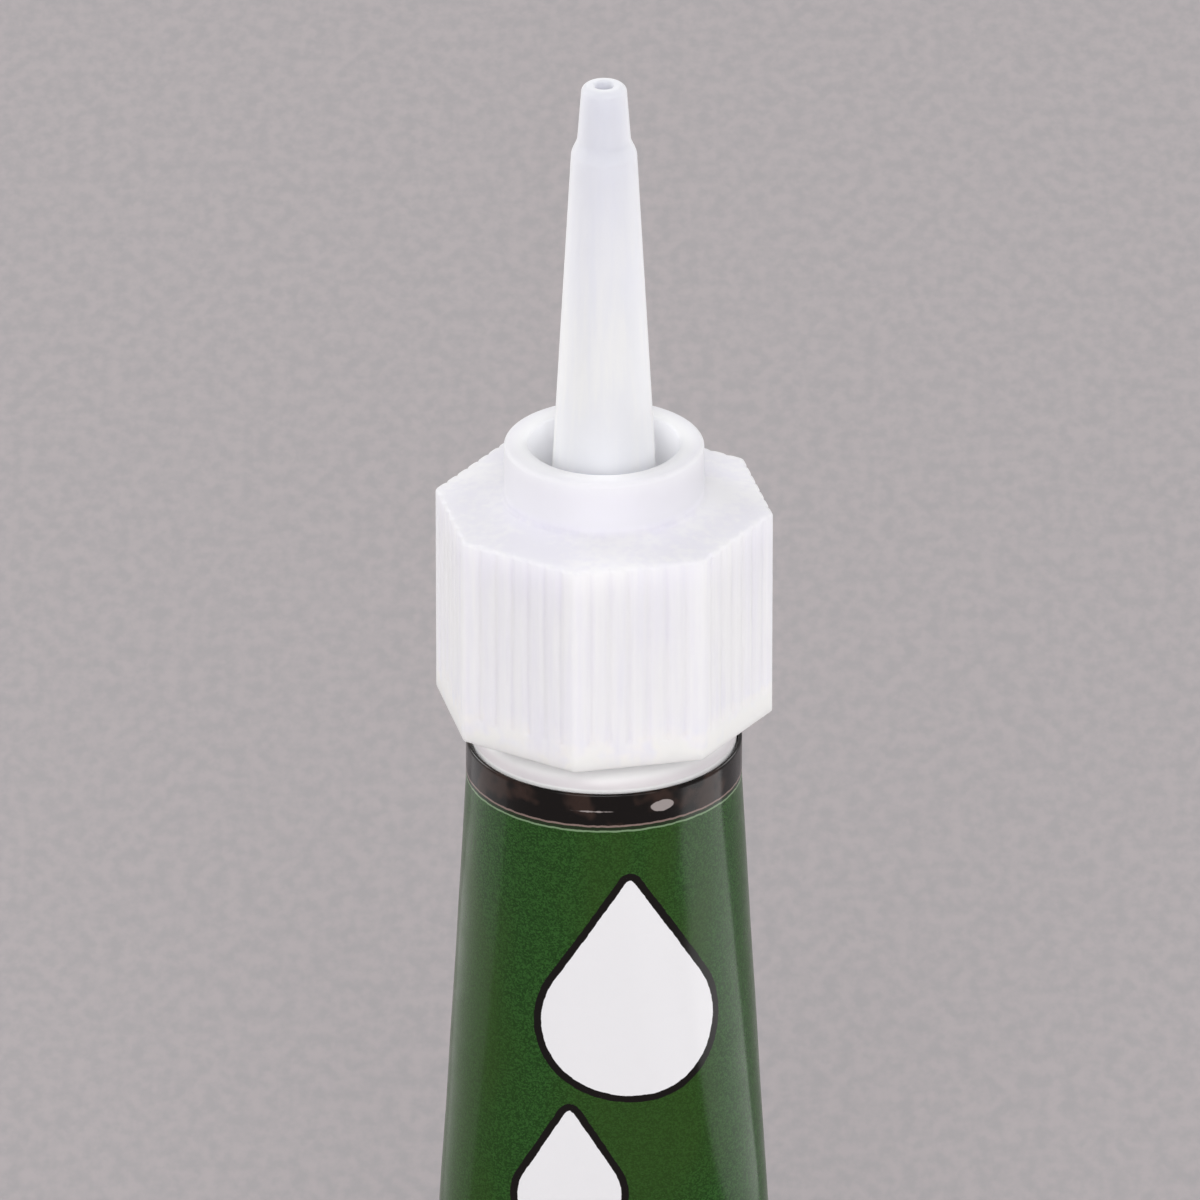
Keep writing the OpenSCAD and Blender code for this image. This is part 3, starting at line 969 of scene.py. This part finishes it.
def glue_gel():
    """Clear gel with a faint straw tint."""
    surface = Surface("glue_gel", {"IOR": 1.45, "Transmission Weight": 0.9})
    swirl = surface.clouds(SWIRL_SIZE)
    surface.set("Base Color", surface.mix(swirl, GEL_STRAW, GEL_PALE))
    surface.set("Roughness", surface.drift(swirl, *GEL_ROUGHNESS))
    surface.bump(swirl, SWIRL_DEPTH, strength=0.1)
    return surface.material


def floor_paper():
    """Grey paper with soft mottling."""
    surface = Surface("floor_paper", {"Specular IOR Level": 0.1, "Roughness": 0.9})
    mottle = surface.drift(surface.clouds(MOTTLE_SIZE, detail=6.0, stretch=MOTTLE_STRETCH))
    surface.set("Base Color", surface.mix(mottle, FLOOR_DARK, FLOOR_PALE))
    return surface.material


# Stage

FLOOR_W = 4000.0
FLOOR_DROP = 0.02
SKY_LEVEL = 0.47
LAMP_FAR = 700.0
LAMP_W = 300.0
# Lamps as (name, azimuth, elevation, level)
LAMPS = (
    ("front", 0.0, 30.0, 0.365),
    ("front_left", -24.0, 14.0, 0.14),
    ("front_right", 30.0, 14.0, 0.11),
    ("left", -125.0, 22.0, 0.37),
    ("right", 125.0, 22.0, 0.28),
)
# Reflectors that lie beside the tube and face up, as (name, centre x, centre y, width, length, brightness)
REFLECTORS = (
    ("left_card", -92.0, 42.0, 95.0, 95.0, 0.49),
    ("right_card", 92.0, 0.0, 65.0, 88.0, 1.9),
)
REFLECTOR_Z = 3.0


def add_floor():
    """Wide paper floor under the tail."""
    half = FLOOR_W / 2 * MM
    level = -FLOOR_DROP * MM
    corners = [(-half, -half, level), (half, -half, level), (half, half, level), (-half, half, level)]
    mesh = bpy.data.meshes.new("floor")
    mesh.from_pydata(corners, [], [(0, 1, 2, 3)])
    mesh.materials.append(floor_paper())
    floor = bpy.data.objects.new("floor", mesh)
    bpy.context.scene.collection.objects.link(floor)


def away(azimuth, elevation):
    """Direction from the tube; azimuth 0 is the camera's side and 90 the right."""
    a = math.radians(azimuth)
    e = math.radians(elevation)
    return Vector((math.sin(a) * math.cos(e), -math.cos(a) * math.cos(e), math.sin(e)))


def add_lamp(name, azimuth, elevation, level):
    """Soft square lamp; level 1 lights a surface that faces it so that its colour shows as written."""
    lamp = bpy.data.lights.new(name, "AREA")
    lamp.size = LAMP_W * MM
    lamp.energy = level * (math.pi * LAMP_FAR * MM) ** 2
    holder = bpy.data.objects.new(name, lamp)
    back = away(azimuth, elevation)
    holder.location = (CAMERA_AIM + back * LAMP_FAR) * MM
    holder.rotation_euler = back.to_track_quat("Z", "Y").to_euler()
    holder.visible_camera = False
    bpy.context.scene.collection.objects.link(holder)


def add_reflector(name, x, y, width, length, brightness):
    """Flat lamp near the floor that the enamel mirrors; brightness 1 is that of lit white paper."""
    lamp = bpy.data.lights.new(name, "AREA")
    lamp.shape = "RECTANGLE"
    lamp.size = width * MM
    lamp.size_y = length * MM
    lamp.energy = brightness * math.pi * lamp.size * lamp.size_y
    holder = bpy.data.objects.new(name, lamp)
    holder.location = Vector((x, y, REFLECTOR_Z)) * MM
    holder.rotation_euler = (math.pi, 0.0, 0.0)
    holder.visible_camera = False
    bpy.context.scene.collection.objects.link(holder)


def add_world():
    """Even light from all round."""
    world = bpy.data.worlds.new("studio")
    world.use_nodes = True
    sky = world.node_tree.nodes["Background"]
    sky.inputs["Color"].default_value = colour(1.0, 1.0, 1.0)
    sky.inputs["Strength"].default_value = SKY_LEVEL
    bpy.context.scene.world = world


def add_camera():
    """Camera at the photo's angle, far away with a long lens."""
    view = bpy.data.cameras.new("camera")
    view.sensor_width = SENSOR_W
    view.lens = SENSOR_W * CAMERA_FAR / FRAME_W
    camera = bpy.data.objects.new("camera", view)
    back = away(0, CAMERA_RISE)
    camera.location = (CAMERA_AIM + back * CAMERA_FAR) * MM
    camera.rotation_euler = back.to_track_quat("Z", "Y").to_euler()
    bpy.context.scene.collection.objects.link(camera)
    bpy.context.scene.camera = camera


# Assembly

dress(make_sleeve(), sleeve_enamel(), "tube", "tube_sleeve")
dress(make_head(), head_plastic(), "tube", "tube_head")
dress(make_nozzle(), nozzle_plastic(), "nozzle_body", "nozzle")
dress(make_collar(), collar_plastic(), "collar_body", "collar")
INNER_MATERIALS = (
    ("neck_membrane", membrane_foil()),
    ("tail_sealant", seal_latex()),
    ("glue_fill", glue_gel()),
)
for node, material in INNER_MATERIALS:
    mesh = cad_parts[node].data
    mesh.materials.clear()
    mesh.materials.append(material)

bpy.context.scene.view_settings.view_transform = "Standard"
add_floor()
add_world()
add_camera()
for lamp in LAMPS:
    add_lamp(*lamp)
for reflector in REFLECTORS:
    add_reflector(*reflector)
